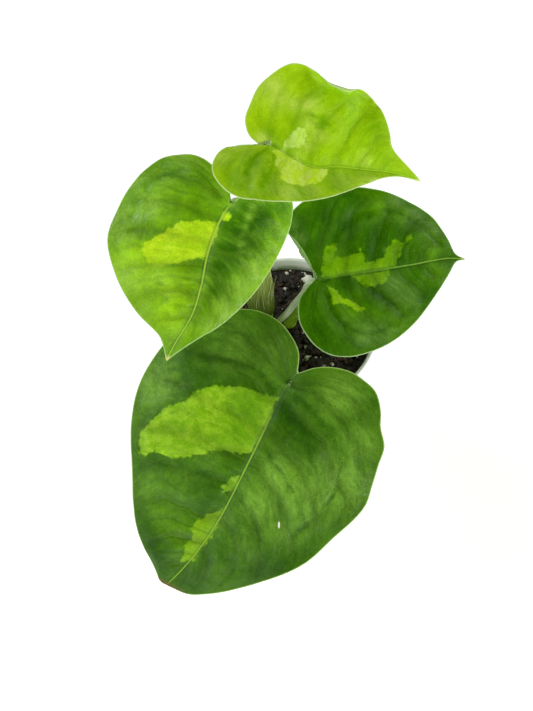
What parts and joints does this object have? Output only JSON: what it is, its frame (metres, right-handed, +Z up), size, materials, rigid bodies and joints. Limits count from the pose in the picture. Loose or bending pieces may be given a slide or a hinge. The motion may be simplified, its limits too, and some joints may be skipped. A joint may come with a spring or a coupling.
{
  "type": "potted plant",
  "caption": "Young variegated pothos with glossy heart-shaped leaves on slim stalks, rooted in dark potting mix in a small round white nursery pot.",
  "frame": {"origin": "centre of the pot's underside, on the surface that the pot stands on", "axes": "+Z up along the pot's axis; -Y towards the large front leaf and the viewer; +X to the viewer's right"},
  "size_m": [0.1054, 0.1121, 0.1217],
  "materials": {
    "pot_plastic": "satin white injection-moulded polypropylene",
    "potting_mix": "dark fibrous peat mix with white perlite grains",
    "stem": "smooth olive green vine stem",
    "sheath": "pale yellow-green striped leaf sheath",
    "petiole": "smooth pale green leaf stalk",
    "leaf_dark": "glossy dark green leaf with light green patches",
    "leaf_mid": "glossy mid green leaf with yellow-green patches",
    "leaf_lime": "glossy lime green young leaf with pale patches"
  },
  "bodies": {
    "root": {"pot": "pot_plastic", "soil": "potting_mix", "stem_main": "stem", "stem_side": "stem", "sheath_left": "sheath", "petiole_front": "petiole", "petiole_left": "petiole", "petiole_right": "petiole", "petiole_top": "petiole", "leaf_front": "leaf_dark", "leaf_left": "leaf_mid", "leaf_right": "leaf_dark", "leaf_top": "leaf_lime"}
  },
  "joints": []
}
